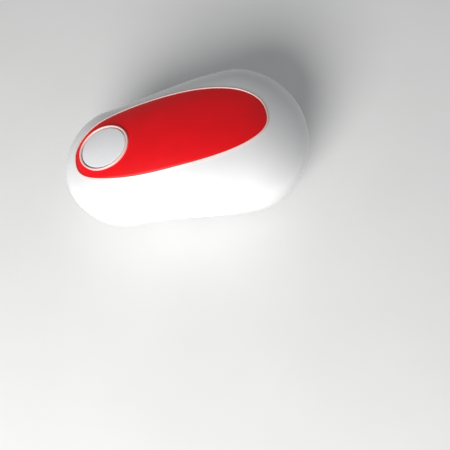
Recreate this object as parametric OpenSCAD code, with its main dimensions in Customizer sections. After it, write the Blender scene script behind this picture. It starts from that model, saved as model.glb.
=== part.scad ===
// Battery electric can opener: a pear-shaped hand-held case that lies on top of a can.
//
// Frame: X runs along the case, +X towards the wide cutting head, and Z is up. The case's outline is
// centred on X = 0, Y = 0. Z = 0 is the underside of the wheels, and the flat underside of the case,
// which rests on the can's rim, is seat_z above it. Modules are drawn with Z = 0 on that underside,
// and on_seat() lifts them.

/* [Case] */
// Overall length of the case
case_l = 126; // [122:1:132]
// Half width at the cutting head
head_w = 38.6; // [38.2:0.1:41]
// Half width at the button end
tail_w = 30.4; // [30:0.1:33]
// Length of the rounded head end
head_l = 32.5; // [31:0.1:35]
// Length of the rounded button end
tail_l = 28.4; // [27:0.1:30]
// Height of the parting line, where the case is widest
part_z = 25; // [24.5:0.5:27]
// Rise of the crown above the parting line at the button end
rise_tail = 21; // [19:0.1:22]
// Rise of the crown at the head
rise_head = 21.4; // [20:0.1:24]
// Extra arch of the crown between the two
rise_mid = 3.2; // [3:0.1:5]
// Wall thickness
wall = 2.2; // [2:0.1:2.4]
// Height of the inside of the floor above the seat
floor_t = 2.4; // [2.2:0.1:2.5]
// How far the head plate stands proud of the case's flat underside
proud = 0.6; // [0.5:0.1:0.7]

/* [Inlay and button] */
// Thickness of the coloured inlay in the crown
inlay_t = 1.7; // [1.5:0.1:1.8]
// Half width of the inlay
inlay_w = 19.4; // [18.8:0.1:20.5]
// Reach of the inlay from its widest place towards the head
inlay_head = 45.5; // [44:0.1:47]
// Reach of the inlay towards the button end
inlay_tail = 50.6; // [49.5:0.1:51.5]
// Half length of the oval push button, along the case
button_r = 12.3; // [11.8:0.1:12.4]
// Width of the button as a share of its length
button_oval = 0.84; // [0.82:0.01:0.88]
// How far the button is pushed in
button_travel = 1.5; // [1:0.1:1.5]
// Tilt of the button towards the button end, following the crown
button_tilt = 14.5; // [13:0.5:16]

/* [Cutting head] */
// Radius of the serrated drive wheel
drive_r = 6.5; // [6:0.1:6.5]
// Radius of the cutting wheel
cutter_r = 8; // [7.5:0.1:8]
// Gap between the two wheels when the cutter is closed on a rim
rim_gap = 1.7; // [1.4:0.1:2.5]
// Depth of the wheels below the underside of the case
seat_z = 7; // [7:0.1:7.5]
// Radius of the steel head plate
plate_r = 25; // [24.5:0.5:25]
// Thickness of the head plate
plate_t = 1.2; // [1:0.1:1.2]

/* [Drive] */
// Diameter of one battery cell
cell_d = 14.4; // [14:0.1:14.4]
// Length of one battery cell with its nub
cell_l = 50.4; // [50:0.1:50.4]
// Diameter of the motor
motor_d = 20.4; // [19:0.1:20.4]
// Length of the motor can
motor_l = 25; // [23:0.5:25]
// Play between meshing teeth, measured on the pitch circle
backlash = 0.16; // [0.12:0.01:0.2]
// Radial play of a shaft in its bearing
run_gap = 0.05; // [0.03:0.01:0.08]

/* [Hidden] */
$fn = 48;

white = "#f1f1f2";
red = "#e0182c";
silver = "#d9d9dc";
steel = "#b4b8bd";
brass_c = "#c9a24a";
black = "#2a2a2c";

// Skeleton of the outline: half ellipses at both ends, joined by smooth flanks.
tail_x = -case_l / 2 + tail_l;
head_x = case_l / 2 - head_l;
arc_n = 18;     // steps round each end
flank_n = 8;    // steps along each flank
crown_t = wall + inlay_t;
flat_s = 0.3;   // share of the underside that is flat

// Inlay and button.
inlay_x = case_l / 2 - 20.1 - inlay_head;
button_x = -36.8;
button_sink = 0.8; // the ring's plane below the top of the crown: flush at its head side, proud at its tail
ring_r = button_r + 1.2;

// Cutting head: the drive wheel runs inside the rim and the cutting wheel outside it.
drive_p = [34, 0];
cutter_p = [drive_p.x + drive_r + rim_gap + cutter_r, 0];
pivot_p = [44, -14.6];
plate_x = 30;
magnet_x = 15.5;
lever_open = 18;

// Gear train. Every pinion has pin_z teeth.
pin_z = 12;
z1 = 48;
z2 = 42;
z3 = 42;
z4 = 32;
m1 = 0.5;
m2 = 0.6;
m4 = 0.8;
motor_p = [15, 20];
first_p = place(motor_p, (pin_z + z1) * m1 / 2, -76.5);
second_p = place(first_p, (pin_z + z2) * m2 / 2, -90);
third_p = meet(second_p, (pin_z + z3) * m2 / 2, drive_p, (pin_z + z4) * m4 / 2);
a01 = bearing(motor_p, first_p);
a12 = bearing(first_p, second_p);
a23 = bearing(second_p, third_p);
a34 = bearing(third_p, drive_p);
ph_first = mesh_phase(0, pin_z, a01, z1);
ph_second = mesh_phase(0, pin_z, a12, z2);
ph_third = mesh_phase(0, pin_z, a23, z3);
ph_out = mesh_phase(0, pin_z, a34, z4);

// Heights of the four gear levels above the underside, and the two plates.
base_z = [3.4, 4.3];
level1 = [4.6, 6.8];
level2 = [7.2, 9.8];
level3 = [10.4, 13.4];
level4 = [14, 18.4];
cover_z = [19.2, 21];
posts = [[6.2, -20.2], [44, 12], [29, 17.8]];
motor_z = 8.2;
plate_screws = [for (a = [40, 140, 220, 275]) place([plate_x, 0], plate_r - 3, a)];

// Battery cells lie in two layers of two.
cell_x = -48.8;
cell_z = floor_t + 0.6 + cell_d / 2;
pitch = cell_d + 0.1;
door_x = [-49.4, 2.6];
door_w = 14.9;
screw_p = [[-40, 19.2, 34.2], [-1.5, 22.8, 38.2]];
screw_seat = 8;

function place(p, d, a) = p + d * [cos(a), sin(a)];
function bearing(p, q) = atan2(q.y - p.y, q.x - p.x);
// The point at distance a from p and b from q, to the right of the line from p to q
function meet(p, a, q, b) =
    let(d = norm(q - p), u = (q - p) / d, k = (a * a - b * b + d * d) / (2 * d))
    p + k * u + sqrt(a * a - k * k) * [u.y, -u.x];
// Angle of a tooth on the second gear that meshes with a tooth at ph on the first
function mesh_phase(ph, z, a, z2) = a + 180 - (0.5 - (a - ph) * z / 360) * 360 / z2;

// --- Case surface -------------------------------------------------------------------------------
function blend(s) = s <= 0 ? 0 : s >= 1 ? 1 : s * s * (3 - 2 * s);
function run(x) = (x - tail_x) / (head_x - tail_x);
function half_w(x, t) = tail_w - t + (head_w - tail_w) * blend(run(x));
// 0 on the spine, 1 on the outline, with the outline drawn in by t
function share(x, y, t) = min(1,
    x < tail_x ? norm([(x - tail_x) / (tail_l - t), y / (tail_w - t)]) :
    x > head_x ? norm([(x - head_x) / (head_l - t), y / (head_w - t)]) : abs(y) / half_w(x, t));
function rise(x) = rise_tail + (rise_head - rise_tail) * run(x) + 4 * rise_mid * run(x) * (1 - run(x));
function crown(x, y, t = 0, drop = 0) =
    part_z + (rise(x) - drop) * sqrt(max(0, 1 - pow(share(x, y, t), 2.3)));
function belly(x, y, t = 0, lift = proud) =
    lift + (part_z - lift) * (1 - sqrt(max(0, 1 - pow(max(0, (share(x, y, t) - flat_s) / (1 - flat_s)), 4))));
function outline(t = 0) = concat(
    [for (i = [0:arc_n]) let(a = -90 + 180 * i / arc_n)
        [head_x + (head_l - t) * cos(a), (head_w - t) * sin(a)]],
    [for (i = [1:flank_n - 1]) let(x = head_x + (tail_x - head_x) * i / flank_n) [x, half_w(x, t)]],
    [for (i = [0:arc_n]) let(a = 90 + 180 * i / arc_n)
        [tail_x + (tail_l - t) * cos(a), (tail_w - t) * sin(a)]],
    [for (i = [1:flank_n - 1]) let(x = tail_x + (head_x - tail_x) * i / flank_n) [x, -half_w(x, t)]]);
hub = [inlay_x, 0];
// The point of the inlay's egg outline in the direction of p
function egg(p, grow = 0) =
    let(a = atan2(p.y, p.x - hub.x), l = (cos(a) > 0 ? inlay_head : inlay_tail) + grow, n = 2.4)
    hub + [cos(a), sin(a)]
        / pow(pow(abs(cos(a)) / l, n) + pow(abs(sin(a)) / (inlay_w + grow), n), 1 / n);
function mix(p, q, k) = p + (q - p) * k;

// A closed solid whose surface is a stack of rings between two poles
module ring_solid(rings, first, last) {
    n = len(rings[0]);
    m = len(rings);
    points = concat([for (r = rings) each r], [first, last]);
    faces = concat(
        [for (i = [0:n - 1]) [n * m, i, (i + 1) % n]],
        [for (k = [0:m - 2], i = [0:n - 1], h = [0, 1]) let(j = (i + 1) % n, a = k * n, b = a + n)
            h == 0 ? [a + i, b + i, b + j] : [a + i, b + j, a + j]],
        [for (i = [0:n - 1]) [n * m + 1, (m - 1) * n + (i + 1) % n, (m - 1) * n + i]]);
    polyhedron(points, faces, convexity = 6);
}

module on_seat() translate([0, 0, seat_z]) children();
module at(p, z = 0) translate([p.x, p.y, z]) children();
// Local frame of the button: Z = 0 on the crown, Z outwards
module at_button() translate([button_x, 0, crown(button_x, 0) - button_sink])
    rotate([0, -button_tilt, 0]) children();
module oval() scale([1, button_oval, 1]) children();
module tube(r, bore, h) rotate_extrude() translate([bore, 0]) square([r - bore, h]);
module both_sides(p) for (s = [-1, 1]) translate([p.x, s * p.y, 0]) children();

// --- Case ---------------------------------------------------------------------------------------
module top_shell() {
    o = outline();
    i = outline(wall);
    up = [1, 0.975, 0.93, 0.85, 0.7, 0.5, 0.25, 0];
    inner = [0.15, 0.45, 0.7, 0.85, 0.94, 0.985];
    rings = concat(
        [for (k = [0.4, 0.8]) [for (p = o) let(q = mix(hub, egg(p), k))
            [q.x, q.y, crown(q.x, q.y) - inlay_t]]],
        [for (d = [inlay_t, 0]) [for (p = o) let(q = egg(p)) [q.x, q.y, crown(q.x, q.y) - d]]],
        [for (k = [6:-1:1]) [for (p = o) let(q = mix(egg(p), p, up[k])) [q.x, q.y, crown(q.x, q.y)]]],
        [[for (p = o) [p.x, p.y, part_z]]],
        [[for (p = i) [p.x, p.y, part_z]]],
        [for (k = [5:-1:0]) [for (p = i) let(q = mix(hub, p, inner[k]))
            [q.x, q.y, crown(q.x, q.y, wall, crown_t)]]]);
    ring_solid(rings, [hub.x, 0, crown(hub.x, 0) - inlay_t], [hub.x, 0, crown(hub.x, 0, wall, crown_t)]);
}

module top_cover() color(white) difference() {
    top_shell();
    at_button() oval() translate([0, 0, -12]) cylinder(r = ring_r - 0.5, h = 20);
}

// The hollow under the crown
module crown_cavity() {
    i = outline(wall);
    inner = [0.15, 0.45, 0.7, 0.85, 0.94, 0.985];
    rings = concat([for (k = [0:5]) [for (p = i) let(q = mix(hub, p, inner[k]))
        [q.x, q.y, crown(q.x, q.y, wall, crown_t + 0.3)]]], [[for (p = i) [p.x, p.y, part_z]]]);
    ring_solid(rings, [hub.x, 0, crown(hub.x, 0, wall, crown_t + 0.3)], [hub.x, 0, part_z]);
}

// Bosses under the crown that the case screws bite into
module top_screw_bosses() color(white) for (p = screw_p) difference() {
    intersection() {
        both_sides(p) translate([0, 0, part_z + 0.05]) cylinder(r = 3.2, h = 30);
        crown_cavity();
    }
    both_sides(p) translate([0, 0, part_z - 1]) cylinder(r = 1.25, h = 8.6);
}

module top_inlay() color(red) difference() {
    o = outline();
    g = -0.12;
    rings = concat(
        [for (k = [0.4, 0.8, 1]) [for (p = o) let(q = mix(hub, egg(p, g), k)) [q.x, q.y, crown(q.x, q.y)]]],
        [for (k = [1, 0.8, 0.4]) [for (p = o) let(q = mix(hub, egg(p, g), k))
            [q.x, q.y, crown(q.x, q.y) - inlay_t + 0.05]]]);
    ring_solid([for (k = [5:-1:0]) rings[k]], [hub.x, 0, crown(hub.x, 0) - inlay_t + 0.05],
        [hub.x, 0, crown(hub.x, 0)]);
    at_button() oval() translate([0, 0, -12]) cylinder(r = ring_r + 0.1, h = 20);
}

module bottom_shell() {
    o = outline();
    s = [0.35, 0.55, 0.7, 0.8, 0.88, 0.94, 0.975, 0.992];
    lip = outline(wall + 0.5);
    rim = outline(wall + 1.6);
    i = outline(wall + 0.1);
    rings = concat(
        [for (k = s) [for (p = o) let(q = mix(hub, p, k)) [q.x, q.y, belly(q.x, q.y)]]],
        [[for (p = o) [p.x, p.y, part_z]]],
        [for (h = [0, 1.3]) [for (p = lip) [p.x, p.y, part_z + h]]],
        [for (h = [1.3, -2]) [for (p = rim) [p.x, p.y, part_z + h]]],
        [[for (p = i) let(q = mix(hub, p, 0.992)) [q.x, q.y, belly(q.x, q.y, wall + 0.1, floor_t)]]],
        [for (k = [6:-1:0]) [for (p = i) let(q = mix(hub, p, s[k]))
            [q.x, q.y, belly(q.x, q.y, wall + 0.1, floor_t)]]]);
    ring_solid([for (k = [len(rings) - 1:-1:0]) rings[k]], [hub.x, 0, floor_t], [hub.x, 0, proud]);
}

// Everything inside the outer surface of the lower case
module belly_solid() {
    o = outline();
    s = [0.35, 0.55, 0.7, 0.8, 0.88, 0.94, 0.975, 0.992];
    rings = concat([[for (p = o) [p.x, p.y, part_z]]],
        [for (k = [7:-1:0]) [for (p = o) let(q = mix(hub, p, s[k])) [q.x, q.y, belly(q.x, q.y)]]]);
    ring_solid(rings, [hub.x, 0, part_z], [hub.x, 0, proud]);
}

module door_zone(gap) translate([door_x[0] + gap, -door_w + gap, -1])
    cube([door_x[1] - door_x[0] - 2 * gap, 2 * (door_w - gap), 8]);

module bottom_cover() color(white) difference() {
    bottom_shell();
    translate([plate_x, 0, -1]) cylinder(r = plate_r + 0.1, h = 1 + plate_t, $fn = 96);
    door_zone(0);
    at(drive_p, -1) cylinder(r = 4.5, h = 9);
    at(pivot_p, -1) cylinder(r = 3.5, h = 9);
    translate([magnet_x, 0, -1]) cylinder(r = 3.1, h = 9);
    for (p = screw_p) both_sides(p) translate([0, 0, -5]) cylinder(r = 3.8, h = 28);
    for (p = plate_screws) at(p, -1) cylinder(r = 1, h = 9);
}

// Sleeves through the lower case that the case screws sit in, trimmed flush with its surface
module bottom_screw_bosses() color(white) for (p = screw_p) difference() {
    intersection() {
        both_sides(p) cylinder(r = 3.7, h = part_z - 0.1);
        belly_solid();
    }
    both_sides(p) translate([0, 0, -5]) cylinder(r = 2.7, h = 5 + screw_seat);
    both_sides(p) translate([0, 0, -5]) cylinder(r = 1.5, h = 40);
}

// A trim ring round the head plate, closing the gap up to the curved belly
module head_ring() color(white) {
    n = 72;
    spot = function (r, a) [plate_x + r * cos(a), r * sin(a)];
    path = [for (i = [0:n - 1]) let(a = 360 * i / n, p = spot(plate_r + 0.1, a), q = spot(plate_r + 1.6, a))
        [[p.x, p.y, 0], [p.x, p.y, belly(p.x, p.y) - 0.3],
         [q.x, q.y, belly(q.x, q.y) - 0.3], [q.x, q.y, 0]]];
    polyhedron([for (c = path) each c],
        [for (i = [0:n - 1], k = [0:3], h = [0, 1]) let(a = 4 * i, b = 4 * ((i + 1) % n), j = (k + 1) % 4)
            h == 0 ? [a + k, a + j, b + j] : [a + k, b + j, b + k]], convexity = 4);
}

// The door is the piece of the belly that was cut out
module battery_door() color(white) intersection() {
    bottom_shell();
    door_zone(0.25);
}

// Inside the door: a rib for the tail end and a latch tongue for the other
module door_latch() color(white) {
    translate([door_x[0] + 4.2, -4, floor_t + 0.1]) cube([1.2, 8, 0.5]);
    translate([door_x[1] - 3.4, -4, floor_t + 0.02]) cube([0.9, 8, 0.55]);
}

module case_screws() color(steel) for (p = screw_p) both_sides(p) translate([0, 0, screw_seat]) {
    difference() {
        translate([0, 0, -2]) cylinder(r = 2.5, h = 2);
        for (a = [0, 90]) rotate(a) translate([-1.6, -0.35, -2.5]) cube([3.2, 0.7, 1.6]);
    }
    cylinder(r = 1.2, h = 23);
}

// --- Button and switch --------------------------------------------------------------------------
module button_ring() color(white) at_button() oval() rotate_extrude($fn = 96) difference() {
    union() {
        translate([button_r + 0.12, -4.3]) square([ring_r - 0.6 - button_r - 0.12, 3.3]);
        translate([button_r + 0.12, -1.6]) square([ring_r - button_r - 0.12, 1.6]);
        translate([(ring_r + button_r + 0.12) / 2, 0]) circle(r = (ring_r - button_r - 0.12) / 2);
    }
}

// A stack of ovals: over the dome, down the side, round the flange that keeps the button in, up inside
// and down the stem that works the switch
module button_cap() color(silver) at_button() {
    n = 60;
    hollow = button_r - 1.4;
    profile = concat([for (k = [0.25, 0.5, 0.75, 1]) [button_r * k, 1.1 * (1 - k * k)]],
        [[button_r, -4.5], [ring_r - 0.7, -4.5], [ring_r - 0.7, -5.3], [hollow, -5.3], [hollow, -1.4],
         [3, -1.4], [3, -2.5]]);
    ring_solid([for (p = profile) [for (i = [0:n - 1]) let(a = 360 * i / n)
        [p.x * cos(a), button_oval * p.x * sin(a), p.y]]], [0, 0, 1.1], [0, 0, -2.5]);
}

// A wire coil with its axis along Z, from radius r0 to r1 over height h
module coil(r0, r1, h, turns, wire) {
    steps = 12 * turns;
    sides = 6;
    ring = function (k) let(a = 30 * k, r = r0 + (r1 - r0) * k / steps)
        [for (j = [0:sides - 1]) let(b = 360 * j / sides)
            [(r + wire * cos(b)) * cos(a), (r + wire * cos(b)) * sin(a), h * k / steps + wire * sin(b)]];
    rings = [for (k = [0:steps]) ring(k)];
    mid = function (q) [for (c = [0:2]) (q[0][c] + q[3][c]) / 2];
    mirror([0, 1, 0]) ring_solid(rings, mid(rings[0]), mid(rings[steps]));
}

module button_spring() color(steel) at_button() translate([0, 0, -7.3]) coil(6.4, 6.4, 5.5, 4, 0.35);

module circuit_board() color("#2f6b45") at_button() translate([0, 0, -8.5]) cylinder(r = 7.2, h = 0.8);

module switch_body() color(black) at_button() difference() {
    translate([-3.3, -3.3, -7.7]) cube([6.6, 6.6, 3.4]);
    translate([0, 0, -6.3]) cylinder(r = 1.6 + run_gap, h = 4);
}

module switch_plunger() color(silver) at_button() translate([0, 0, -4.6]) cylinder(r = 1.6, h = 2);

module switch_carrier() color(white) at_button() union() {
    translate([-2, -14.6, -9.3]) cube([4, 29.2, 0.8]);
    for (s = [0, 1]) mirror([0, s, 0]) translate([-2, 12.6, -9.3]) cube([4, 2, 3.5]);
}

// --- Batteries ----------------------------------------------------------------------------------
module battery_tray() color(white) difference() {
    translate([-51.2, -15.3, 8]) cube([55.2, 30.6, 18]);
    translate([-50, -14.6, 7]) cube([52.8, 29.2, 30]);
}

module each_cell() for (s = [-1, 1], k = [0, 1])
    translate([cell_x, s * pitch / 2, cell_z + k * pitch])
        translate([(s * (2 * k - 1) > 0 ? cell_l : 0), 0, 0])
            rotate([0, s * (2 * k - 1) > 0 ? -90 : 90, 0]) children();

module battery_cells() color("#5b6068") each_cell() rotate_extrude()
    polygon([[0, 0], [cell_d / 2 - 0.4, 0], [cell_d / 2, 0.4], [cell_d / 2, cell_l - 1.9],
             [cell_d / 2 - 0.5, cell_l - 1.4], [2.7, cell_l - 1.4], [2.7, cell_l], [0, cell_l]]);

module battery_springs() color(steel) each_cell() mirror([0, 0, 1]) translate([0, 0, 0.2])
    coil(1.6, 3.6, 0.4, 2, 0.18);

module battery_contacts() color(steel) union() {
    for (s = [-1, 1]) translate([-49.95, s * pitch / 2 - 5, cell_z - 1]) cube([0.3, 10, pitch + 2]);
    for (k = [0, 1]) translate([2.45, -pitch / 2 - 5, cell_z + k * pitch - 4]) cube([0.3, pitch + 10, 8]);
}

// --- Cutting head -------------------------------------------------------------------------------
module head_plate() color(steel) difference() {
    translate([plate_x, 0, 0]) cylinder(r = plate_r, h = plate_t, $fn = 96);
    at(drive_p, -1) cylinder(r = 4.5, h = 4);
    at(pivot_p, -1) cylinder(r = 3.5, h = 4);
    translate([magnet_x, 0, -1]) cylinder(r = 3.1, h = 4);
    for (p = plate_screws) at(p, -0.01) cylinder(r1 = 1.95, r2 = 1, h = plate_t + 0.02);
}

module head_plate_screws() color(steel) for (p = plate_screws) at(p) difference() {
    union() {
        cylinder(r1 = 1.9, r2 = 0.95, h = plate_t);
        cylinder(r = 0.85, h = 4);
    }
    for (a = [0, 90]) rotate(a) translate([-1.1, -0.25, -0.5]) cube([2.2, 0.5, 1]);
}

module magnet_holder() color(black) translate([magnet_x, 0, 0]) difference() {
    union() {
        translate([0, 0, -4]) cylinder(r = 7, h = 4);
        cylinder(r = 3, h = floor_t);
    }
    translate([0, 0, -5]) cylinder(r = 5.9, h = 3.6);
}

module lid_magnet() color(steel) translate([magnet_x, 0, -4.2]) cylinder(r = 5.8, h = 2.7);

module drive_bush() color(brass_c) at(drive_p) difference() {
    union() {
        translate([0, 0, -0.9]) cylinder(r = 5.8, h = 0.9);
        cylinder(r = 4.4, h = floor_t);
    }
    translate([0, 0, -2]) cylinder(r = 3 + run_gap, h = 8);
}

// A serrated steel wheel on a hexagonal shaft end
module drive_wheel() color(steel) at(drive_p, -5.2) linear_extrude(4.1) difference() {
    polygon([for (i = [0:47]) (i % 2 == 0 ? drive_r : drive_r - 0.65) * [cos(7.5 * i), sin(7.5 * i)]]);
    circle(r = 2.8, $fn = 6);
}

module drive_wheel_screw() color(steel) at(drive_p) union() {
    difference() {
        translate([0, 0, -seat_z]) cylinder(r = 3.7, h = seat_z - 5.3);
        for (a = [0, 90]) rotate(a) translate([-2, -0.45, -seat_z - 1]) cube([4, 0.9, 1.9]);
    }
    translate([0, 0, -5.3]) cylinder(r = 1.2, h = 9);
}

module pivot_bush() color(brass_c) at(pivot_p) tube(3.4, 2.5 + run_gap, 4.3);

module cutter_pivot() color(steel) at(pivot_p, -2.6) cylinder(r = 2.5, h = 12.5);

// A flat link with round ends, its straight sides a hair narrower than the ends
module bar(p, q, w, h) union() {
    at(p) rotate(bearing(p, q)) translate([0, -0.97 * w, 0]) cube([norm(q - p), 1.94 * w, h]);
    at(p) cylinder(r = w, h = h);
    at(q) cylinder(r = w, h = h);
}

module cutter_lever() color(steel) translate([0, 0, -2.6]) difference() {
    bar(pivot_p, cutter_p, 4.5, 2.1);
    at(pivot_p, -1) cylinder(r = 2.5, h = 5);
    at(cutter_p, -1) cylinder(r = 1.9, h = 5);
}

module cutting_wheel() color(steel) at(cutter_p, -5.45) rotate_extrude($fn = 96)
    polygon([[2.5 + run_gap, 0], [5, 0], [cutter_r, 0.9], [cutter_r, 1.1], [5, 2.2], [2.5 + run_gap, 2.2]]);

module cutter_axle() color(steel) at(cutter_p) union() {
    difference() {
        translate([0, 0, -seat_z]) cylinder(r = 4, h = seat_z - 5.5);
        for (a = [0, 90]) rotate(a) translate([-2, -0.45, -seat_z - 1]) cube([4, 0.9, 1.8]);
    }
    translate([0, 0, -5.5]) cylinder(r = 2.5, h = 2.9);
    translate([0, 0, -2.6]) cylinder(r = 1.9, h = 2.1);
}

// Inside the case, the arm follows the clamp cam and the spring holds the cutter closed
module follower_arm() color(steel) translate([0, 0, level2[0]]) difference() {
    union() {
        at(pivot_p) cylinder(r = 3.6, h = level2[1] - level2[0]);
        bar(pivot_p, place(pivot_p, norm(drive_p - pivot_p) - 6.1, bearing(pivot_p, drive_p)), 1,
            level2[1] - level2[0]);
    }
    at(pivot_p, -1) cylinder(r = 2.5, h = 9);
}

module cutter_spring() color(steel) at(pivot_p, 4.75)
    for (k = [0:2]) translate([0, 0, 0.75 * k]) rotate_extrude() translate([3.3, 0]) circle(r = 0.35);

module clamp_cam() color(brass_c) at(drive_p, level2[0]) difference() {
    translate([1, 0, 0]) cylinder(r = 3.9, h = level2[1] - level2[0]);
    translate([0, 0, -1]) cylinder(r = 3, h = 9);
}

// --- Gearbox and motor --------------------------------------------------------------------------
function inv(a) = tan(a) * 180 / PI - a;
function tooth_half(m, z, r) =
    90 / z - backlash / (m * z) * 90 / PI + inv(20) - inv(acos(min(1, m * z / 2 * cos(20) / r)));

// Involute outline of a spur gear with stub teeth, one tooth centred on angle ph
module toothed(m, z, ph) {
    base = m * z / 2 * cos(20);
    root = m * (z / 2 - 1.05);
    tip = m * (z / 2 + 0.8);
    low = max(base, root);
    flank = [for (k = [0:3]) let(r = low + (tip - low) * k / 3) [r, tooth_half(m, z, r)]];
    foot = root < base ? [[root, tooth_half(m, z, base)]] : [];
    side = concat(foot, flank);
    n = len(side);
    rotate(ph) polygon([for (i = [0:z - 1]) each concat(
        [for (k = [0:n - 1]) let(a = 360 * i / z - side[k][1]) side[k][0] * [cos(a), sin(a)]],
        [for (k = [n - 1:-1:0]) let(a = 360 * i / z + side[k][1]) side[k][0] * [cos(a), sin(a)]])]);
}

module wheel(m, z, ph, span, hex) translate([0, 0, span[0]]) linear_extrude(span[1] - span[0]) difference() {
    toothed(m, z, ph);
    circle(r = hex, $fn = 6);
}

// A large wheel with a pinion standing on it
module compound(p, m, z, ph, low, m_pin, top) at(p) union() {
    wheel(m, z, ph, low, 1.9);
    wheel(m_pin, pin_z, 0, [low[1], top], 1.9);
}

// A shaft with a hexagonal middle and a round journal at each end
module gear_shaft(p) at(p) union() {
    translate([0, 0, 3.1]) cylinder(r = 1.5, h = 1.5);
    translate([0, 0, 4.5]) cylinder(r = 1.9, h = 14.5, $fn = 6);
    translate([0, 0, 18.9]) cylinder(r = 1.5, h = 2);
}

module first_gear() color(white) compound(first_p, m1, z1, ph_first, level1, m2, 10);
module second_gear() color(white) compound(second_p, m2, z2, ph_second, level2, m2, 13.6);
module third_gear() color(steel) compound(third_p, m2, z3, ph_third, level3, m4, 18.6);
module first_gear_shaft() color(steel) gear_shaft(first_p);
module second_gear_shaft() color(steel) gear_shaft(second_p);
module third_gear_shaft() color(steel) gear_shaft(third_p);
module output_gear() color(steel) at(drive_p) wheel(m4, z4, ph_out, level4, 3);

module drive_shaft() color(steel) at(drive_p) difference() {
    union() {
        translate([0, 0, -5.2]) cylinder(r = 2.8, h = 4.3, $fn = 6);
        translate([0, 0, -0.95]) cylinder(r = 3, h = 14.85);
        translate([0, 0, 13.8]) cylinder(r = 3, h = 5.1, $fn = 6);
        translate([0, 0, 18.8]) cylinder(r = 2.4, h = 2.6);
    }
    translate([0, 0, -6]) cylinder(r = 1.25, h = 10);
}

module motor_pinion() color(brass_c) at(motor_p, level1[0] - 0.2) linear_extrude(2.6) difference() {
    toothed(m1, pin_z, 0);
    circle(r = 1 / cos(30), $fn = 6);
}

module motor_shaft() color(steel) at(motor_p, 4.2) cylinder(r = 1, h = 27);

module motor_can() color(steel) at(motor_p, motor_z) difference() {
    union() {
        cylinder(r = motor_d / 2, h = motor_l, $fn = 64);
        translate([0, 0, -0.7]) cylinder(r = 3, h = 0.8);
    }
    translate([0, 0, -1]) cylinder(r = 1 + run_gap, h = 24.2);
}

module motor_end_cap() color(black) at(motor_p, motor_z + motor_l) union() {
    cylinder(r = 8.4, h = 1.4);
    for (s = [-1, 1]) translate([s * 5 - 0.25, -1, 1.3]) cube([0.5, 2, 1.6]);
}

module gearbox_base() color(white) difference() {
    union() {
        translate([plate_x, 0, base_z[0]]) cylinder(r = 20, h = base_z[1] - base_z[0], $fn = 96);
        translate([0, 0, base_z[0]]) bar(posts[0], second_p, 2.3, base_z[1] - base_z[0]);
    }
    for (p = [first_p, second_p, third_p]) at(p) cylinder(r = 1.5 + run_gap, h = 9);
    at(drive_p) cylinder(r = 3 + run_gap, h = 9);
    at(pivot_p) cylinder(r = 3.45, h = 9);
    for (p = plate_screws) at(p) cylinder(r = 0.9, h = 9);
    for (p = posts) at(p) cylinder(r = 0.9, h = 9);
}

module gearbox_posts() color(steel) for (p = posts) at(p, base_z[1])
    tube(1.9, 0.9, cover_z[0] - base_z[1]);

// A web of links between the shafts, the posts and the ring that grips the motor
module gearbox_cover() color(white) difference() {
    translate([0, 0, cover_z[0]]) union() {
        links = [[posts[0], second_p], [second_p, first_p], [first_p, drive_p], [third_p, drive_p],
            [drive_p, posts[1]], [drive_p, posts[2]], [posts[2], motor_p], [first_p, motor_p]];
        for (k = links) at(k[0]) rotate(bearing(k[0], k[1]))
            translate([0, -3, 0]) cube([norm(k[1] - k[0]), 6, cover_z[1] - cover_z[0]]);
        for (p = concat(posts, [first_p, second_p, third_p]))
            at(p) cylinder(r = 3.5, h = cover_z[1] - cover_z[0]);
        at(drive_p) cylinder(r = 5, h = cover_z[1] - cover_z[0]);
        at(motor_p) cylinder(r = motor_d / 2 + 1, h = 8, $fn = 64);
    }
    at(motor_p) cylinder(r = motor_d / 2 + 0.05, h = 40, $fn = 64);
    for (p = [first_p, second_p, third_p]) at(p, 18) cylinder(r = 1.5 + run_gap, h = 9);
    at(drive_p, 18) cylinder(r = 2.4 + run_gap, h = 9);
    for (p = posts) at(p, 18) cylinder(r = 0.9, h = 9);
}

module gearbox_screws() color(steel) for (p = posts) at(p, cover_z[1]) {
    difference() {
        cylinder(r = 1.9, h = 1.3);
        translate([-1.5, -0.25, 0.7]) cube([3, 0.5, 1]);
    }
    translate([0, 0, -14]) cylinder(r = 0.85, h = 14);
}

on_seat() top_cover();
on_seat() top_screw_bosses();
on_seat() top_inlay();
on_seat() button_ring();
on_seat() button_cap();
on_seat() button_spring();
on_seat() switch_body();
on_seat() switch_plunger();
on_seat() circuit_board();
on_seat() switch_carrier();
on_seat() bottom_cover();
on_seat() bottom_screw_bosses();
on_seat() battery_door();
on_seat() door_latch();
on_seat() case_screws();
on_seat() battery_tray();
on_seat() battery_cells();
on_seat() battery_springs();
on_seat() battery_contacts();
on_seat() head_ring();
on_seat() head_plate();
on_seat() head_plate_screws();
on_seat() magnet_holder();
on_seat() lid_magnet();
on_seat() gearbox_base();
on_seat() gearbox_cover();
on_seat() gearbox_posts();
on_seat() gearbox_screws();
on_seat() motor_can();
on_seat() motor_end_cap();
on_seat() motor_shaft();
on_seat() motor_pinion();
on_seat() first_gear();
on_seat() first_gear_shaft();
on_seat() second_gear();
on_seat() second_gear_shaft();
on_seat() third_gear();
on_seat() third_gear_shaft();
on_seat() output_gear();
on_seat() drive_shaft();
on_seat() drive_bush();
on_seat() clamp_cam();
on_seat() drive_wheel();
on_seat() drive_wheel_screw();
on_seat() cutter_pivot();
on_seat() pivot_bush();
on_seat() cutter_lever();
on_seat() follower_arm();
on_seat() cutter_spring();
on_seat() cutting_wheel();
on_seat() cutter_axle();
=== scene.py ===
import math

import bmesh
import bpy
from mathutils import Matrix, Vector


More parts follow.
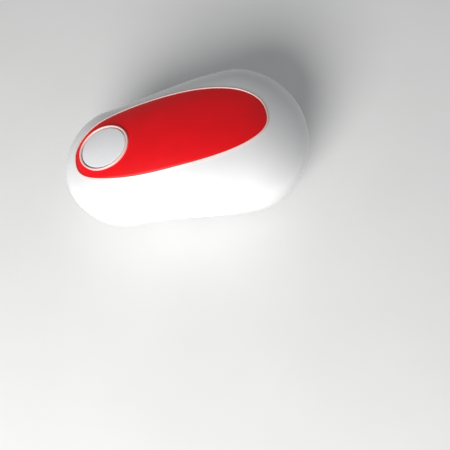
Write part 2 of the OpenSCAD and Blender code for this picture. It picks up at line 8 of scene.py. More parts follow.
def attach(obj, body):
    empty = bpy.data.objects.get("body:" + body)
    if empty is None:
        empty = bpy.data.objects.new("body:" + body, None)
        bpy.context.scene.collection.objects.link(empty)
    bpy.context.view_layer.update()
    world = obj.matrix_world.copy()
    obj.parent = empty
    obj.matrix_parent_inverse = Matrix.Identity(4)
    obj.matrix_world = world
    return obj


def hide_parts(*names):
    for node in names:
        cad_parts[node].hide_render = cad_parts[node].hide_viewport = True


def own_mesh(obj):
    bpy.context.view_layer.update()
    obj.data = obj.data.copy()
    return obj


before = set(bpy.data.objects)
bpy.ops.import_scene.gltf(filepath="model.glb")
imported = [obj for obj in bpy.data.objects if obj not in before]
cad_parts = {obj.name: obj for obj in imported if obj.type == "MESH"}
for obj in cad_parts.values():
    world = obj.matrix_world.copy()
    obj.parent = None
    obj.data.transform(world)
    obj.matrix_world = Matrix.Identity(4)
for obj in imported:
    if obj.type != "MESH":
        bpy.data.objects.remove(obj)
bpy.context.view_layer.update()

# Everything below is drawn in millimetres above the flat underside of the case, which is SEAT above
# the wheels' underside, and lifted and scaled to metres as each mesh is made.
MM = 0.001
SEAT = 7.0

# --- Case surface, by the same formulas as the CAD ----------------------------------------------
CASE_L = 126.0
HEAD_W, TAIL_W = 38.6, 30.4
HEAD_L, TAIL_L = 32.5, 28.4
PART_Z = 25.0
RISE_TAIL, RISE_HEAD, RISE_MID = 21.0, 21.4, 3.2
WALL, FLOOR_T, PROUD, INLAY_T = 2.2, 2.4, 0.6, 1.7
CROWN_T = WALL + INLAY_T
CROWN_POWER, BELLY_POWER = 2.3, 4   # how full the crown and the belly are, 2 being an ellipse
FLAT_SHARE = 0.3   # share of the underside that is flat
PARTING = 0.03   # half the hairline gap between the two halves of the case
EDGE_ROUND, EDGE_IN = 0.3, 0.25   # height and depth of the rounding beside that gap
TAIL_X = -CASE_L / 2 + TAIL_L
HEAD_X = CASE_L / 2 - HEAD_L
INLAY_W, INLAY_HEAD, INLAY_TAIL = 19.4, 45.5, 50.6
INLAY_FROM_HEAD = 20.1   # from the inlay's tip to the head end of the case
EGG_POWER = 2.4   # how full the inlay's outline is, 2 being a plain ellipse
HUB = (CASE_L / 2 - INLAY_FROM_HEAD - INLAY_HEAD, 0.0)
BUTTON_X, BUTTON_R, BUTTON_SINK = -36.8, 12.3, 0.8   # BUTTON_R is half the button's length
BUTTON_OVAL = 0.84   # the button's width as a share of its length
BUTTON_TILT = math.radians(14.5)
RING_R = BUTTON_R + 1.2
CASE_BORE_R, INLAY_BORE_R = RING_R - 0.5, RING_R + 0.15
PLATE_X, PLATE_R, PLATE_T = 30.0, 25.0, 1.2
DRIVE_P, PIVOT_P, MAGNET_P = (34.0, 0.0), (44.0, -14.6), (15.5, 0.0)
DRIVE_HOLE_R, PIVOT_HOLE_R, MAGNET_HOLE_R, SCREW_HOLE_R = 4.5, 3.5, 3.1, 3.8
DOOR_X, DOOR_W, DOOR_GAP, DOOR_TOP = (-49.4, 2.6), 14.9, 0.25, 7.0
SCREW_P = [(x, s * y) for x, y in ((-40.0, 19.2), (-1.5, 22.8)) for s in (1, -1)]
SCREW_SEAT = 8.0
LAP = 1.3   # how far the lower case's rim reaches up inside the upper case

END_STEPS = 72      # steps round each end of an outline
FLANK_STEPS = 40    # steps along each flank


def run(x):
    """0 where the tail's round end begins, 1 where the head's does."""
    return (x - TAIL_X) / (HEAD_X - TAIL_X)


def blend(s):
    """An even S from 0 to 1."""
    s = min(1.0, max(0.0, s))
    return s * s * (3 - 2 * s)


def half_w(x, t=0.0):
    """Half the width of the flanks at x, drawn in by t."""
    return TAIL_W - t + (HEAD_W - TAIL_W) * blend(run(x))


def share(x, y, t=0.0):
    """0 on the spine, 1 on the outline drawn in by t."""
    if x < TAIL_X:
        s = math.hypot((x - TAIL_X) / (TAIL_L - t), y / (TAIL_W - t))
    elif x > HEAD_X:
        s = math.hypot((x - HEAD_X) / (HEAD_L - t), y / (HEAD_W - t))
    else:
        s = abs(y) / half_w(x, t)
    return min(1.0, s)


def rise(x):
    """Height of the crown's spine over the parting line."""
    r = run(x)
    return RISE_TAIL + (RISE_HEAD - RISE_TAIL) * r + 4 * RISE_MID * r * (1 - r)


def crown(x, y, t=0.0, drop=0.0):
    """The upper case's surface, with its outline drawn in by t and its spine lowered by drop."""
    return PART_Z + (rise(x) - drop) * math.sqrt(max(0.0, 1 - share(x, y, t) ** CROWN_POWER))


def belly(x, y, t=0.0, lift=PROUD):
    """The lower case's surface, with its outline drawn in by t and its flat at height lift."""
    s = max(0.0, (share(x, y, t) - FLAT_SHARE) / (1 - FLAT_SHARE))
    return lift + (PART_Z - lift) * (1 - math.sqrt(max(0.0, 1 - s ** BELLY_POWER)))


def outline(t=0.0):
    """The case's outline, drawn in by t, anticlockwise from the head's right corner."""
    points = []
    for i in range(END_STEPS + 1):
        a = math.radians(-90 + 180 * i / END_STEPS)
        points.append((HEAD_X + (HEAD_L - t) * math.cos(a), (HEAD_W - t) * math.sin(a)))
    for i in range(1, FLANK_STEPS):
        x = HEAD_X + (TAIL_X - HEAD_X) * i / FLANK_STEPS
        points.append((x, half_w(x, t)))
    for i in range(END_STEPS + 1):
        a = math.radians(90 + 180 * i / END_STEPS)
        points.append((TAIL_X + (TAIL_L - t) * math.cos(a), (TAIL_W - t) * math.sin(a)))
    for i in range(1, FLANK_STEPS):
        x = TAIL_X + (HEAD_X - TAIL_X) * i / FLANK_STEPS
        points.append((x, -half_w(x, t)))
    return points


def egg(p, grow=0.0):
    """The point of the inlay's outline in the direction of p from its hub."""
    a = math.atan2(p[1] - HUB[1], p[0] - HUB[0])
    reach = INLAY_HEAD if math.cos(a) > 0 else INLAY_TAIL
    along = abs(math.cos(a) / (reach + grow)) ** EGG_POWER
    across = abs(math.sin(a) / (INLAY_W + grow)) ** EGG_POWER
    d = (along + across) ** (-1 / EGG_POWER)
    return (HUB[0] + d * math.cos(a), HUB[1] + d * math.sin(a))


def mix(p, q, k):
    """The point a share k of the way from p to q."""
    return tuple(a + (b - a) * k for a, b in zip(p, q))


# The button's own frame: its plane lies a little under the top of the crown and tilts to the tail
BUTTON = (Matrix.Translation((BUTTON_X, 0, crown(BUTTON_X, 0) - BUTTON_SINK))
          @ Matrix.Rotation(-BUTTON_TILT, 4, "Y"))
OVAL = BUTTON @ Matrix.Diagonal((1, BUTTON_OVAL, 1, 1))


def recess(x, y):
    """The floor that the inlay lies on."""
    return crown(x, y) - INLAY_T


def underside(x, y):
    """The upper case's inner surface."""
    return crown(x, y, WALL, CROWN_T)


def hole_point(toward, radius, surface=crown):
    """Where a surface meets the button's tilted bore of that radius, on the side of toward."""
    local = OVAL.inverted() @ Vector((toward[0], toward[1], crown(*toward)))
    a = math.atan2(local.y, local.x)
    w = 0.0
    for _ in range(12):
        p = OVAL @ Vector((radius * math.cos(a), radius * math.sin(a), w))
        w += (surface(p.x, p.y) - p.z) * math.cos(BUTTON_TILT)
    return (p.x, p.y)


# --- Mesh making --------------------------------------------------------------------------------
def to_object(name, bm, sharp=35.0, matrix=None):
    """An object in metres in the row frame from a bmesh in millimetres above the seat."""
    if matrix:
        bm.transform(matrix)
    bm.transform(Matrix.Scale(MM, 4) @ Matrix.Translation((0, 0, SEAT)))
    bmesh.ops.recalc_face_normals(bm, faces=bm.faces)
    for f in bm.faces:
        f.smooth = True
    for e in bm.edges:
        e.smooth = len(e.link_faces) == 2 and e.calc_face_angle(0.0) < math.radians(sharp)
    mesh = bpy.data.meshes.new(name)
    bm.to_mesh(mesh)
    bm.free()
    obj = bpy.data.objects.new(name, mesh)
    bpy.context.scene.collection.objects.link(obj)
    return obj


def rings_mesh(rings, poles=(None, None), loop=False, marks=()):
    """A surface through a stack of rings. marks are (first ring, last ring, material index)."""
    bm = bmesh.new()
    rows = [[bm.verts.new(p) for p in ring] for ring in rings]
    n = len(rows[0])
    pairs = list(zip(rows, rows[1:])) + ([(rows[-1], rows[0])] if loop else [])
    for k, (low, high) in enumerate(pairs):
        index = next((m for a, b, m in marks if a <= k < b), 0)
        for i in range(n):
            j = (i + 1) % n
            bm.faces.new((low[i], low[j], high[j], high[i])).material_index = index
    for row, pole in ((rows[0], poles[0]), (rows[-1], poles[1])):
        if pole is not None:
            tip = bm.verts.new(pole)
            for i in range(n):
                bm.faces.new((tip, row[i], row[(i + 1) % n]))
    return bm


def on_surface(points, height):
    """A ring of flat points, each lifted to the height that the function gives there."""
    return [(x, y, height(x, y)) for x, y in points]


def spaced(n, power=2.0):
    """n + 1 steps from 0 to 1 that crowd together towards 1."""
    return [1 - (1 - i / n) ** power for i in range(n + 1)]


def turned(profile, steps=160):
    """Rings of a solid of revolution about Z from (radius, height) points."""
    angles = [2 * math.pi * i / steps for i in range(steps)]
    return [[(r * math.cos(a), r * math.sin(a), z) for a in angles] for r, z in profile]


def cylinder(centre, radius, low, high, steps=96):
    """A closed upright cylinder."""
    profile = [(radius, low), (radius, high)]
    bm = rings_mesh(turned(profile, steps), poles=((0, 0, low), (0, 0, high)))
    bm.transform(Matrix.Translation((*centre, 0)))
    return bm


def rounded_box(x0, x1, w, low, high, r, steps=8):
    """A closed block from x0 to x1 and from -w to w, with upright corners of radius r."""
    corners = [(x1 - r, w - r, 0), (x0 + r, w - r, 90), (x0 + r, r - w, 180), (x1 - r, r - w, 270)]
    ring = [(cx + r * math.cos(math.radians(a + 90 * i / steps)),
             cy + r * math.sin(math.radians(a + 90 * i / steps)))
            for cx, cy, a in corners for i in range(steps + 1)]
    mid = ((x0 + x1) / 2, 0)
    return rings_mesh([[(*p, low) for p in ring], [(*p, high) for p in ring]],
                      poles=((*mid, low), (*mid, high)))


def carve(obj, cutters, operation="DIFFERENCE"):
    """Cuts each bmesh out of the object, or keeps what they share, and leaves a plain mesh."""
    for bm in cutters:
        tool = to_object("tool", bm)
        cut = obj.modifiers.new("cut", "BOOLEAN")
        cut.operation, cut.solver, cut.object = operation, "EXACT", tool
        bpy.context.view_layer.update()
        done = bpy.data.meshes.new_from_object(obj.evaluated_get(bpy.context.evaluated_depsgraph_get()))
        obj.modifiers.clear()
        old, obj.data = obj.data, done
        bpy.data.meshes.remove(old)
        bpy.data.objects.remove(tool)
    bm = bmesh.new()
    bm.from_mesh(obj.data)
    bmesh.ops.remove_doubles(bm, verts=bm.verts, dist=1e-7)
    for f in bm.faces:
        f.smooth = True
    for e in bm.edges:
        e.smooth = len(e.link_faces) == 2 and e.calc_face_angle(0.0) < math.radians(30)
    bm.to_mesh(obj.data)
    bm.free()
    return obj


def eased(node, width):
    """A copy of a CAD node with its sharp edges rounded over, as machined or moulded parts have."""
    bm = bmesh.new()
    bm.from_mesh(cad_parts[node].data)
    bmesh.ops.remove_doubles(bm, verts=bm.verts, dist=2e-7)
    bmesh.ops.dissolve_limit(bm, angle_limit=math.radians(0.5), verts=bm.verts, edges=bm.edges)
    edges = [e for e in bm.edges if len(e.link_faces) == 2 and e.calc_face_angle(0.0) > math.radians(35)]
    bmesh.ops.bevel(bm, geom=edges, offset=width * MM, segments=2, profile=0.6,
                    affect="EDGES", clamp_overlap=True)
    for f in bm.faces:
        f.smooth = True
    for e in bm.edges:
        e.smooth = len(e.link_faces) == 2 and e.calc_face_angle(0.0) < math.radians(40)
    mesh = bpy.data.meshes.new(node + "_eased")
    bm.to_mesh(mesh)
    bm.free()
    obj = bpy.data.objects.new(node + "_eased", mesh)
    bpy.context.scene.collection.objects.link(obj)
    return obj


# --- Materials ----------------------------------------------------------------------------------
class Nodes:
    """A short way to build a node tree."""

    def __init__(self, name):
        self.material = bpy.data.materials.new(name)
        self.material.use_nodes = True
        self.tree = self.material.node_tree
        self.shader = self.tree.nodes["Principled BSDF"]
        self.place = self.add("ShaderNodeTexCoord").outputs["Object"]

    def add(self, kind, **settings):
        node = self.tree.nodes.new(kind)
        for key, value in settings.items():
            setattr(node, key, value)
        return node

    def link(self, source, target):
        self.tree.links.new(source, target)

    def noise(self, size_mm, detail=2.0, rough=0.5, stretch=None):
        """Noise whose features are about size_mm across, drawn out along an axis by stretch."""
        node = self.add("ShaderNodeTexNoise")
        node.inputs["Scale"].default_value = 1 / (size_mm * MM)
        node.inputs["Detail"].default_value = detail
        node.inputs["Roughness"].default_value = rough
        place = self.place
        if stretch:
            mapping = self.add("ShaderNodeMapping")
            mapping.inputs["Scale"].default_value = stretch
            self.link(place, mapping.inputs["Vector"])
            place = mapping.outputs["Vector"]
        self.link(place, node.inputs["Vector"])
        return node.outputs["Fac"]

    def ramp(self, value, stops):
        """A colour from (place, colour) stops."""
        node = self.add("ShaderNodeValToRGB")
        while len(node.color_ramp.elements) < len(stops):
            node.color_ramp.elements.new(0.5)
        for element, (at, colour) in zip(node.color_ramp.elements, stops):
            element.position = at
            element.color = (*colour, 1.0)
        self.link(value, node.inputs["Fac"])
        return node.outputs["Color"]

    def span(self, value, low, high, source=(0.3, 0.7)):
        """The value's stretch between the source pair, mapped to low and high."""
        node = self.add("ShaderNodeMapRange")
        node.inputs["From Min"].default_value, node.inputs["From Max"].default_value = source
        node.inputs["To Min"].default_value, node.inputs["To Max"].default_value = low, high
        self.link(value, node.inputs["Value"])
        return node.outputs["Result"]

    def mixed(self, factor, a, b):
        """Colour a where the factor is 0 and b where it is 1."""
        node = self.add("ShaderNodeMix", data_type="RGBA")
        self.link(factor, node.inputs["Factor"])
        for colour, socket in ((a, node.inputs[6]), (b, node.inputs[7])):
            if isinstance(colour, tuple):
                socket.default_value = (*colour, 1.0)
            else:
                self.link(colour, socket)
        return node.outputs[2]

    def bump(self, layers):
        """layers are (height, strength, distance in mm), stacked."""
        normal = None
        for height, strength, distance in layers:
            node = self.add("ShaderNodeBump")
            node.inputs["Strength"].default_value = strength
            node.inputs["Distance"].default_value = distance * MM
            self.link(height, node.inputs["Height"])
            if normal:
                self.link(normal, node.inputs["Normal"])
            normal = node.outputs["Normal"]
        self.link(normal, self.shader.inputs["Normal"])

    def edges(self, low, high):
        """1 on convex edges, where a surface rubs bare first."""
        return self.span(self.add("ShaderNodeNewGeometry").outputs["Pointiness"], 0.0, 1.0, (low, high))


def plastic(name, colour, rough, grain_mm, grain, tint=0.02, wear=None, coat=0.0, peel=0.0, gleam=0.5):
    """Moulded plastic: cloudy tint, handled patches, fine grain, and worn edges of the colour wear."""
    n = Nodes(name)
    cloud = n.noise(11.0, 3.0)
    dark = tuple(c * (1 - tint) for c in colour)
    light = tuple(min(1.0, c * (1 + tint)) for c in colour)
    base = n.ramp(cloud, [(0.3, dark), (0.7, light)])
    if wear:
        base = n.mixed(n.edges(0.54, 0.62), base, wear)
    n.link(base, n.shader.inputs["Base Color"])
    n.link(n.span(n.noise(6.0, 4.0, 0.6), rough[0], rough[1]), n.shader.inputs["Roughness"])
    n.bump([(n.noise(grain_mm, 2.0), grain, 0.02), (n.noise(4.5, 1.0), peel, 0.02)])
    n.shader.inputs["IOR"].default_value = 1.52
    n.shader.inputs["Specular IOR Level"].default_value = gleam
    n.shader.inputs["Coat Weight"].default_value = coat
    n.shader.inputs["Coat Roughness"].default_value = 0.08
    return n.material


def metal(name, colour, rough, streak, stretch=None, pits=0.015):
    """Steel or bronze: rolled or turned streaks, fine pits, brighter rubbed edges."""
    n = Nodes(name)
    grain = n.noise(0.9, 4.0, 0.6, stretch)
    cloud = n.noise(5.0, 3.0)
    dull = tuple(c * (1 - streak) for c in colour)
    base = n.mixed(n.span(cloud, 0.0, 0.5), n.ramp(grain, [(0.3, dull), (0.65, colour)]), dull)
    base = n.mixed(n.edges(0.53, 0.62), base, tuple(min(1.0, c * 1.25) for c in colour))
    n.link(base, n.shader.inputs["Base Color"])
    n.link(n.span(grain, rough[0], rough[1]), n.shader.inputs["Roughness"])
    n.bump([(grain, pits, 0.03), (n.noise(0.25, 2.0), pits, 0.01)])
    n.shader.inputs["Metallic"].default_value = 1.0
    return n.material


GOLD_FROM = -16.5   # where along X the cells' jackets turn from silver to gold


def jacket(name):
    """Plain two-tone cell jacket: brushed silver for most of its length and gold at one end."""
    n = Nodes(name)
    split = n.add("ShaderNodeSeparateXYZ")
    n.link(n.place, split.inputs["Vector"])
    band = n.span(split.outputs["X"], 0.0, 1.0, (GOLD_FROM * MM, (GOLD_FROM + 0.3) * MM))
    grain = n.noise(0.6, 3.0, 0.6, (0.1, 1.0, 1.0))
    silver = n.ramp(grain, [(0.3, (0.64, 0.65, 0.67)), (0.7, (0.70, 0.71, 0.73))])
    gold = n.ramp(grain, [(0.3, (0.74, 0.49, 0.12)), (0.7, (0.80, 0.55, 0.15))])
    n.link(n.mixed(band, silver, gold), n.shader.inputs["Base Color"])
    n.link(n.span(grain, 0.27, 0.30), n.shader.inputs["Roughness"])
    n.bump([(grain, 0.005, 0.01)])
    n.shader.inputs["Metallic"].default_value = 0.8
    n.shader.inputs["Coat Weight"].default_value = 0.4
    return n.material


WHITE = plastic("gloss_white_abs", (0.80, 0.80, 0.81), (0.16, 0.26), 0.5, 0.02,
                tint=0.012, coat=0.25, peel=0.02)
MATT_WHITE = plastic("white_abs_inside", (0.74, 0.74, 0.75), (0.38, 0.5), 0.4, 0.08, tint=0.015)
# Painted reflection: the pink is the red inlay's reflection, painted into the colour of the white lip
# and button ring
LIP_PAINTED_RED_REFLECTION = plastic("white_lip_painted_red_reflection", (0.92, 0.60, 0.57), (0.22, 0.32), 0.4, 0.02, tint=0.015, coat=0.2)
RED = plastic("red_inlay", (0.80, 0.003, 0.008), (0.34, 0.44), 0.22, 0.06,
              tint=0.04, peel=0.015, gleam=0.3)
SILVER = plastic("silver_white_button", (0.78, 0.785, 0.80), (0.24, 0.34), 0.18, 0.05,
                 tint=0.02, wear=(0.86, 0.86, 0.87), coat=0.25)
BLACK = plastic("black_plastic", (0.022, 0.022, 0.024), (0.42, 0.58), 0.35, 0.2,
                tint=0.15, wear=(0.06, 0.06, 0.065))
NYLON = plastic("natural_nylon", (0.78, 0.76, 0.68), (0.34, 0.46), 0.5, 0.1, tint=0.03)
BOARD = plastic("green_laminate", (0.03, 0.16, 0.06), (0.28, 0.4), 0.3, 0.15, tint=0.12)
ROLLED = metal("rolled_steel", (0.56, 0.57, 0.59), (0.26, 0.42), 0.16, stretch=(0.06, 1.0, 1.0))
TURNED = metal("turned_steel", (0.60, 0.61, 0.63), (0.27, 0.31), 0.05, stretch=(1.0, 1.0, 6.0))
PLATED = metal("plated_steel", (0.72, 0.73, 0.75), (0.12, 0.24), 0.08, pits=0.03)
MAGNET = metal("nickel_plated_magnet", (0.66, 0.65, 0.62), (0.16, 0.3), 0.12)
BRONZE = metal("sintered_bronze", (0.60, 0.36, 0.13), (0.34, 0.5), 0.25, pits=0.15)
JACKET = jacket("cell_jacket")


def dress(obj, *materials):
    """Gives the object these materials in place of any that it has."""
    # clear() also puts every face back in the first slot, so a new mesh, which has none, skips it
    if obj.data.materials:
        obj.data.materials.clear()
    for m in materials:
        obj.data.materials.append(m)


def finish_piece(obj, slot, nodes, *materials, body="case"):
    """Materials, body and the CAD nodes that the piece stands for, which it hides; slot is not used."""
    dress(obj, *materials)
    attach(obj, body)
    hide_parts(*nodes)
    return obj


# --- Upper case ---------------------------------------------------------------------------------
outer = outline()
inner = outline(WALL)
mouth = [hole_point(egg(p), CASE_BORE_R, recess) for p in outer]
low_mouth = [hole_point(egg(p), CASE_BORE_R, underside) for p in outer]


def lip_ring(grow, height):
    """A ring round the inlay, outside its outline by grow and over the crown by height."""
    return on_surface([egg(p, grow) for p in outer], lambda x, y: crown(x, y) + height)


floor_rings = [on_surface([mix(m, egg(p), k) for m, p in zip(mouth, outer)], recess)
               for k in (0, 0.15, 0.3, 0.45, 0.6, 0.75, 0.9, 1)]
# The moulded lip that stands round the inlay, in growth from the inlay's edge and height
LIP_W = 1.05
LIP_PROFILE = [(0.0, -0.3), (0.02, 0.08), (0.12, 0.22), (0.28, 0.3), (0.45, 0.31), (0.62, 0.25),
               (0.78, 0.13), (0.9, 0.04), (LIP_W, 0.0)]
lip_rings = [lip_ring(g, h) for g, h in LIP_PROFILE]
skin_rings = [on_surface([mix(egg(p, LIP_W), p, k) for p in outer],
                         lambda x, y: max(crown(x, y), PART_Z + EDGE_ROUND))
              for k in spaced(44, 2.4)[1:]]
edge_rings = [[(*p, PART_Z + PARTING) for p in outline(EDGE_IN)],
              [(*p, PART_Z + PARTING) for p in inner]]
inner_rings = [on_surface([mix(m, p, k) for m, p in zip(low_mouth, inner)], underside)
               for k in reversed(spaced(16)[:-1])]
lip_first = len(floor_rings) - 1
# The lip faces take the white lip material with the red inlay's reflection painted in as pink
top = rings_mesh(floor_rings + lip_rings + skin_rings + edge_rings + inner_rings, loop=True,
                 marks=[(lip_first, lip_first + len(LIP_PROFILE), 1)])
finish_piece(to_object("upper_case", top, sharp=40), "white_abs", ["top_cover"], WHITE, LIP_PAINTED_RED_REFLECTION)

# --- Inlay --------------------------------------------------------------------------------------
around = [hole_point(egg(p), INLAY_BORE_R) for p in outer]
low_around = [hole_point(egg(p), INLAY_BORE_R, recess) for p in outer]


def inlay_ring(k, grow, depth, bore=around):
    """A ring the share k of the way from the button's bore to the inlay's outline grown by grow."""
    return on_surface([mix(m, egg(p, grow), k) for m, p in zip(bore, outer)],
                      lambda x, y: crown(x, y) - depth)


INLAY_GROW = -0.18   # leaves a hairline gap inside the lip
TOP_STEPS = 40
# The rounded edge, in growth beyond INLAY_GROW and depth
INLAY_EDGE = [(0, 0.5), (-0.05, 0.28), (-0.18, 0.13), (-0.4, 0.07)]
inlay_rings = ([inlay_ring(k, INLAY_GROW, INLAY_T - 0.05, low_around)
                for k in (0, 0.2, 0.4, 0.6, 0.8, 1)]
               + [inlay_ring(1, INLAY_GROW + g, depth) for g, depth in INLAY_EDGE]
               + [inlay_ring(1 - k, INLAY_GROW - 0.4, 0.06)
                  for k in [i / TOP_STEPS for i in range(1, TOP_STEPS)] + [0.99]]
               + [inlay_ring(0, INLAY_GROW, 0.2)])
finish_piece(to_object("crown_inlay", rings_mesh(inlay_rings, loop=True), sharp=40),
             "red_gloss", ["top_inlay"], RED)

# --- Button -------------------------------------------------------------------------------------
BORE_R = BUTTON_R + 0.12
SKIRT_R, SKIRT_FOOT = RING_R - 0.6, -4.3   # the ring's skirt goes down through the case
STEP_Z = -2.6   # below this the button fills its bore
BEAD_H, BEAD_STEPS = 0.5, 14
mid_r, half_r = (RING_R + BORE_R) / 2, (RING_R - BORE_R) / 2
bead = [(mid_r - half_r * math.cos(a), BEAD_H * math.sin(a) ** 0.8)
        for a in [math.pi * i / BEAD_STEPS for i in range(BEAD_STEPS + 1)]]
ring_profile = ([(SKIRT_R, SKIRT_FOOT), (BORE_R, SKIRT_FOOT), (BORE_R, STEP_Z), (BORE_R, -0.6)] + bead
                + [(RING_R, -1.55), (SKIRT_R, -1.6)])
# The white bezel gets the lip's colour, with the red inlay's reflection painted in as pink
finish_piece(to_object("button_bezel", rings_mesh(turned(ring_profile), loop=True),
                       sharp=40, matrix=OVAL),
             "white_abs", ["button_ring"], LIP_PAINTED_RED_REFLECTION)

CAP_R = BUTTON_R - 0.28
DOME_TOP, DOME_STEPS = 1.1, 24
FLANGE_R, FLANGE_TOP, FLANGE_FOOT = RING_R - 0.7, -4.5, -5.3
HOLLOW_R, HOLLOW_TOP = BUTTON_R - 1.4, -1.4
STEM_R, STEM_FOOT = 3.0, -2.5
cap_dome = [(CAP_R * k, DOME_TOP - k * k) for k in [i / DOME_STEPS for i in range(1, DOME_STEPS)]]
cap_profile = (cap_dome + [(CAP_R - 0.22, 0.08), (CAP_R - 0.07, -0.04), (CAP_R, -0.28), (CAP_R, -1.2),
                           (BUTTON_R, STEP_Z), (BUTTON_R, FLANGE_TOP), (FLANGE_R, FLANGE_TOP),
                           (FLANGE_R, FLANGE_FOOT), (HOLLOW_R, FLANGE_FOOT), (HOLLOW_R, HOLLOW_TOP),
                           (STEM_R, HOLLOW_TOP), (STEM_R, STEM_FOOT)])
cap = rings_mesh(turned(cap_profile), poles=((0, 0, DOME_TOP), (0, 0, STEM_FOOT)))
finish_piece(to_object("button_dome", cap, sharp=40, matrix=OVAL),
             "silver_button", ["button_cap"], SILVER, body="button")

# --- Lower case, with its battery door cut out of the same skin ---------------------------------
LOW_WALL = WALL + 0.1


def lower_shell():
    """The whole lower case without its openings, from the middle of the belly out, up and back in."""
    skin = [on_surface([mix(HUB, p, k) for p in outer],
                       lambda x, y: min(belly(x, y), PART_Z - EDGE_ROUND))
            for k in spaced(40, 2.2)[1:]]
    lip, rim = outline(WALL + 0.5), outline(WALL + 1.6)
    edge = ([[(*p, PART_Z - PARTING) for p in outline(EDGE_IN)]]
            + [[(*p, PART_Z + h) for p in lip] for h in (-PARTING, LAP)]
            + [[(*p, PART_Z + h) for p in rim] for h in (LAP, -2.0)])
    inside = [on_surface([mix(HUB, p, k) for p in outline(LOW_WALL)],
                         lambda x, y: belly(x, y, LOW_WALL, FLOOR_T))
              for k in reversed([0.15] + spaced(24)[3:-3])]
    return rings_mesh(skin + edge + inside, poles=((*HUB, PROUD), (*HUB, FLOOR_T)))


lower = to_object("lower_case", lower_shell())
holes = [(DRIVE_P, DRIVE_HOLE_R), (PIVOT_P, PIVOT_HOLE_R), (MAGNET_P, MAGNET_HOLE_R)]
carve(lower, [cylinder((PLATE_X, 0), PLATE_R + 0.1, -1, PLATE_T, 144),
              rounded_box(DOOR_X[0], DOOR_X[1], DOOR_W, -1, DOOR_TOP, 1.6)]
      + [cylinder(p, r, -1, 8) for p, r in holes]
      + [cylinder(p, SCREW_HOLE_R, -5, 23, 48) for p in SCREW_P])
finish_piece(lower, "white_abs", ["bottom_cover"], WHITE)

door = to_object("battery_hatch", lower_shell())
carve(door, [rounded_box(DOOR_X[0] + DOOR_GAP, DOOR_X[1] - DOOR_GAP, DOOR_W - DOOR_GAP,
                         -1, DOOR_TOP, 1.4)], "INTERSECT")
finish_piece(door, "white_abs", ["battery_door"], WHITE, body="door")


ROUND = [2 * math.pi * i / 48 for i in range(48)]
SLEEVE_TOP = PART_Z - 0.15
# Radius, lowest height and rise over the skin: down the hole, round its mouth and up the outside
SLEEVE_PROFILE = [(1.5, SLEEVE_TOP, 0), (1.5, SCREW_SEAT, 0), (2.7, SCREW_SEAT, 0), (2.7, 0, 0.3),
                  (2.8, 0, 0.12), (2.95, 0, 0.03), (3.4, 0, 0.03), (3.6, 0, 0.12), (3.7, 0, 0.3),
                  (3.7, SLEEVE_TOP, 0)]


def screw_sleeves():
    """Four tubes from the belly's skin to the parting line, counterbored for the screws' heads."""
    whole = bmesh.new()
    for px, py in SCREW_P:
        rings = [[(px + r * math.cos(a), py + r * math.sin(a),
                   max(z, belly(px + r * math.cos(a), py + r * math.sin(a)) + ease)) for a in ROUND]
                 for r, z, ease in SLEEVE_PROFILE]
        piece = rings_mesh(rings, loop=True)
        mesh = bpy.data.meshes.new("sleeve")
        piece.to_mesh(mesh)
        piece.free()
        whole.from_mesh(mesh)
        bpy.data.meshes.remove(mesh)
    return whole


finish_piece(to_object("screw_sleeves", screw_sleeves()), "white_abs", ["bottom_screw_bosses"],
             MATT_WHITE)

# --- Head ring, which closes the gap from the flat head plate up to the curved belly ------------
COLLAR_STEPS = 144
# Radius and height, or None for a height just under the belly
COLLAR_PROFILE = [(25.1, None), (25.1, 0.3), (25.16, 0.1), (25.3, 0.0), (26.1, 0.0), (26.38, 0.08),
                  (26.54, 0.25), (26.6, 0.5), (26.6, None)]


def head_collar():
    """A closed ring round the head plate, its top trimmed to the belly."""
    rings = []
    for r, z in COLLAR_PROFILE:
        angles = [2 * math.pi * i / COLLAR_STEPS for i in range(COLLAR_STEPS)]
        spots = [(PLATE_X + r * math.cos(a), r * math.sin(a)) for a in angles]
        tops = [belly(x, y) - 0.33 for x, y in spots]
        rings.append([(x, y, top if z is None else min(z, top)) for (x, y), top in zip(spots, tops)])
    return rings_mesh(rings, loop=True)


finish_piece(to_object("head_collar", head_collar(), sharp=50), "white_abs", ["head_ring"], WHITE)

# --- Parts that show from below, with their machined or moulded edges eased ---------------------
# Node, slot, material, body and the width of its eased edges
EASED_PARTS = [
    ("head_plate", "steel", ROLLED, "case", 0.15),
    ("head_plate_screws", "bright_steel", PLATED, "case", 0.06),
    ("case_screws", "bright_steel", PLATED, "case", 0.1),
    ("magnet_holder", "black_plastic", BLACK, "case", 0.2),
    ("lid_magnet", "steel", MAGNET, "case", 0.25),
    ("drive_bush", "bronze", BRONZE, "case", 0.12),
    ("pivot_bush", "bronze", BRONZE, "case", 0.08),
    ("drive_wheel", "steel", TURNED, "drive", 0.07),
    ("drive_wheel_screw", "bright_steel", PLATED, "drive", 0.15),
    ("cutter_lever", "steel", ROLLED, "cutter", 0.15),
    ("cutter_axle", "bright_steel", PLATED, "cutter", 0.15),
    ("cutter_pivot", "bright_steel", TURNED, "cutter", 0.15),
    ("cutting_wheel", "bright_steel", TURNED, "cutting_wheel", 0.06)]
for node, slot_name, material, body, width in EASED_PARTS:
    finish_piece(eased(node, width), slot_name, [node], material, body=body)

# The button's spring stands on the circuit board and shortens as the button goes down; here it only gets
# a mesh of its own
spring = finish_piece(eased("button_spring", 0.01), "bright_steel", ["button_spring"], PLATED)
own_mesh(spring)

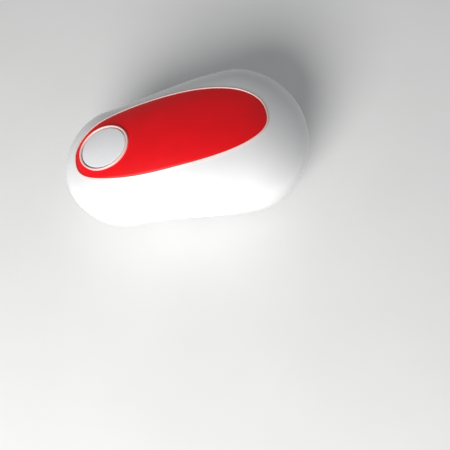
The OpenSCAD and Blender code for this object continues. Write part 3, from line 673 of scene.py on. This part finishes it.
# --- Parts inside the case keep the CAD's shapes and get their own materials --------------------
INSIDE = {
    MATT_WHITE: ["top_screw_bosses", "door_latch"],
    BLACK: ["switch_body", "motor_end_cap", "battery_tray"],
    NYLON: ["switch_carrier", "gearbox_base", "gearbox_cover", "first_gear", "second_gear",
            "switch_plunger"],
    ROLLED: ["motor_can", "third_gear", "output_gear", "follower_arm", "gearbox_posts"],
    PLATED: ["battery_springs", "battery_contacts", "gearbox_screws", "cutter_spring"],
    TURNED: ["motor_shaft", "first_gear_shaft", "second_gear_shaft", "third_gear_shaft", "drive_shaft"],
    BRONZE: ["clamp_cam", "motor_pinion"],
    JACKET: ["battery_cells"],
    BOARD: ["circuit_board"]}
for material, nodes in INSIDE.items():
    for node in nodes:
        dress(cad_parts[node], material)

# --- Floor, lights, camera ----------------------------------------------------------------------
def pale_floor():
    """Matt off-white, and clear when seen from underneath."""
    n = Nodes("pale_floor")
    n.link(n.ramp(n.noise(60.0, 3.0), [(0.3, (0.88, 0.88, 0.88)), (0.7, (0.91, 0.91, 0.91))]),
           n.shader.inputs["Base Color"])
    n.shader.inputs["Roughness"].default_value = 0.75
    n.shader.inputs["Specular IOR Level"].default_value = 0.2
    mixer, clear = n.add("ShaderNodeMixShader"), n.add("ShaderNodeBsdfTransparent")
    n.link(n.add("ShaderNodeNewGeometry").outputs["Backfacing"], mixer.inputs["Fac"])
    n.link(n.shader.outputs["BSDF"], mixer.inputs[1])
    n.link(clear.outputs["BSDF"], mixer.inputs[2])
    n.link(mixer.outputs["Shader"], n.tree.nodes["Material Output"].inputs["Surface"])
    return n.material


FLOOR_SIZE, FLOOR_DROP = 6, 0.0003
bpy.ops.mesh.primitive_plane_add(size=FLOOR_SIZE, location=(0, 0, -FLOOR_DROP))
ground = bpy.context.object
ground.name = "floor"
dress(ground, pale_floor())


def area_light(name, toward, distance, size, power, colour):
    """A disc lamp that faces the object from the given direction and distance."""
    light = bpy.data.lights.new(name, "AREA")
    light.shape, light.size, light.energy, light.color = "DISK", size, power, colour
    lamp = bpy.data.objects.new(name, light)
    d = Vector(toward).normalized()
    lamp.location = d * distance
    lamp.rotation_mode = "QUATERNION"
    lamp.rotation_quaternion = d.to_track_quat("Z", "Y")
    bpy.context.scene.collection.objects.link(lamp)


area_light("key", toward=(-0.42, -0.76, 0.48), distance=0.95, size=0.6, power=10.6,
           colour=(1.0, 0.99, 0.975))

scene = bpy.context.scene
scene.view_settings.view_transform = "Standard"
scene.world = bpy.data.worlds.new("studio")
scene.world.use_nodes = True
background = scene.world.node_tree.nodes["Background"]
background.inputs["Color"].default_value = (0.97, 0.985, 1.0, 1.0)
background.inputs["Strength"].default_value = 0.27

# The camera looks down on the crown from in front and is a little rolled
EYE, AIM, OVERHEAD = (0.01888, -0.13351, 0.25517), (-0.0307, 0.3677, -0.9294), (0.2261, 0.9083, 0.3519)
camera = bpy.data.objects.new("camera", bpy.data.cameras.new("camera"))
scene.collection.objects.link(camera)
camera.data.sensor_width, camera.data.lens = 36.0, 40.085
forward = Vector(AIM).normalized()
right = forward.cross(Vector(OVERHEAD)).normalized()
upward = right.cross(forward)
turn = Matrix((right, upward, -forward)).transposed().to_4x4()
camera.matrix_world = Matrix.Translation(EYE) @ turn
scene.camera = camera
